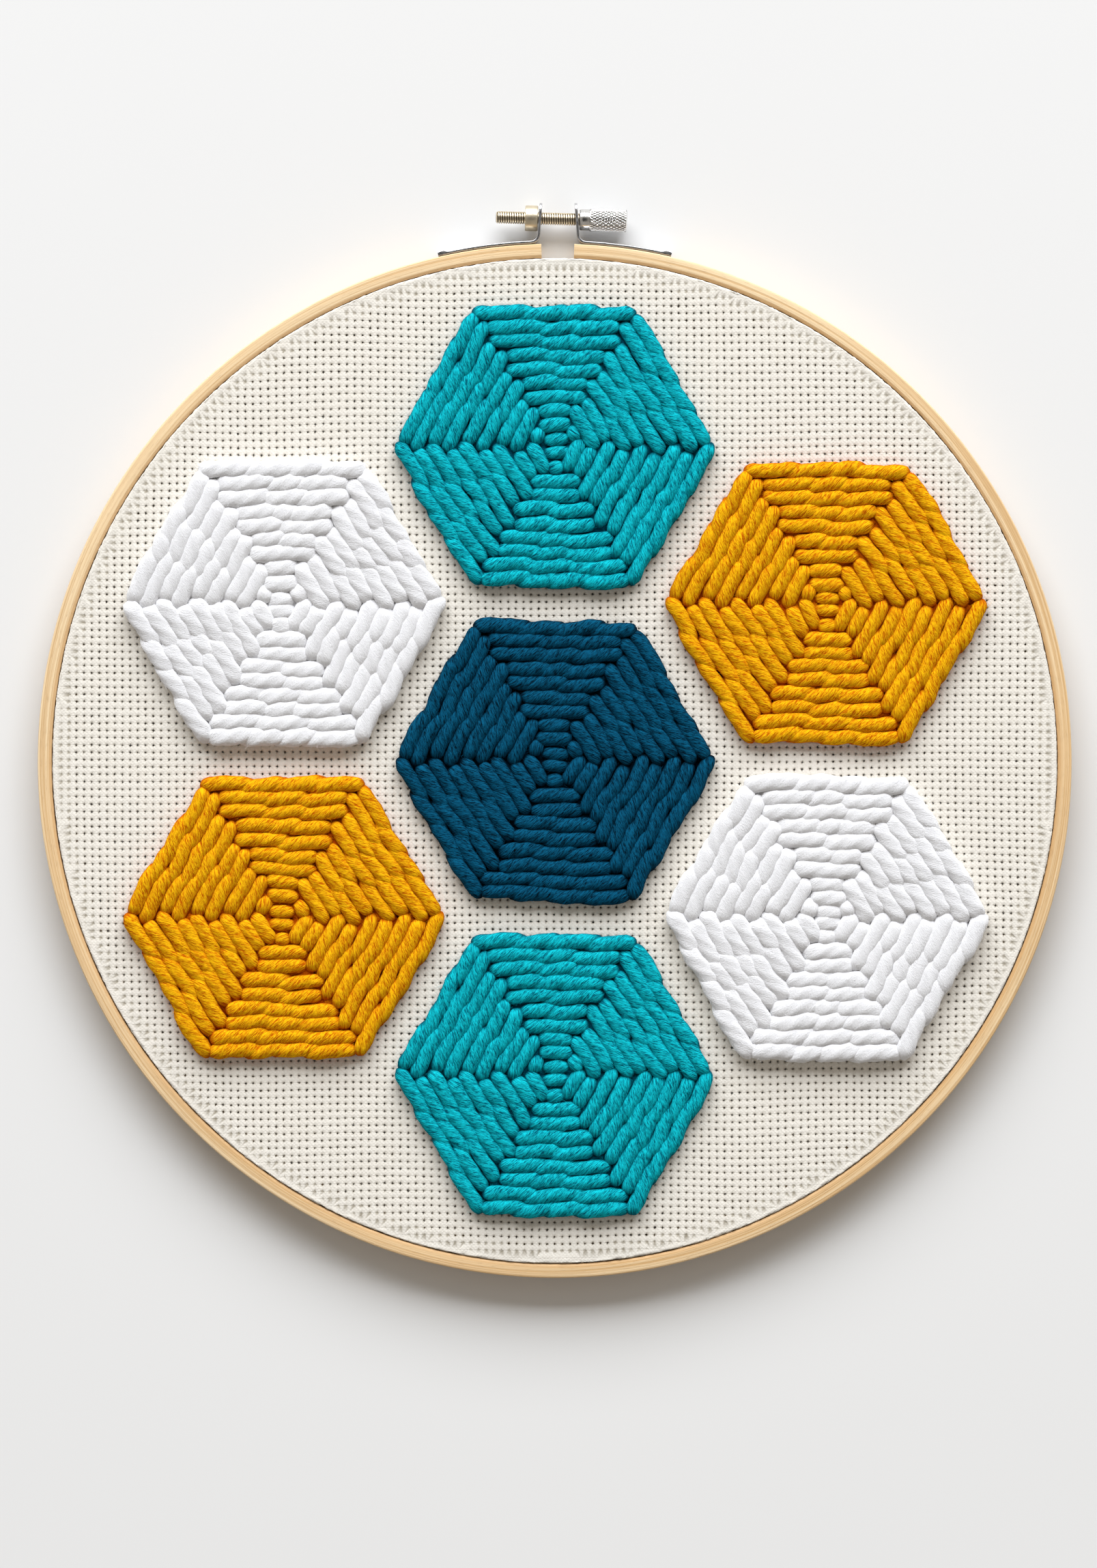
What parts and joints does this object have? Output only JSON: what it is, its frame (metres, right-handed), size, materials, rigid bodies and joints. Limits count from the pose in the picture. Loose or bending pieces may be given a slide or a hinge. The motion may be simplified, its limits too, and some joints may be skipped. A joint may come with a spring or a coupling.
{
  "type": "hoop embroidery art on canvas in a wooden screw hoop",
  "caption": "Round hoop art: raised yarn hexagons stitched on even-weave canvas, stretched in a split wooden ring that a knurled thumb screw tightens between two steel ears.",
  "frame": {"origin": "middle of the part's footprint, on the surface that its back lies on; the hoop's own centre is at y = -0.0062", "axes": "+Z out of the picture, away from the back; +Y from the hoop's centre to the screw; +X to the right as seen from the front"},
  "size_m": [0.31, 0.3224, 0.0144],
  "materials": {
    "wood": "bare pale wood, sanded, with fine grain along the ring",
    "canvas": "off-white even-weave cotton with open holes",
    "yarn_teal": "chunky soft twisted yarn, matt with a fine fuzz",
    "yarn_mustard": "chunky soft twisted yarn, matt with a fine fuzz",
    "yarn_white": "chunky soft twisted yarn, matt with a fine fuzz",
    "yarn_navy": "chunky soft twisted yarn, matt with a fine fuzz",
    "steel": "thin bright strip, lightly brushed",
    "brass": "pale worn brass",
    "nickel": "bright nickel plate"
  },
  "bodies": {
    "root": {"outer_ring": "wood", "inner_ring": "wood", "ground_canvas": "canvas", "yarn_middle": "yarn_navy", "yarn_top": "yarn_teal", "yarn_upper_right": "yarn_mustard", "yarn_lower_right": "yarn_white", "yarn_bottom": "yarn_teal", "yarn_lower_left": "yarn_mustard", "yarn_upper_left": "yarn_white", "bracket_left": "steel", "bracket_right": "steel", "screw_rod": "brass", "round_nut": "brass", "knurled_head": "nickel"}
  },
  "joints": []
}
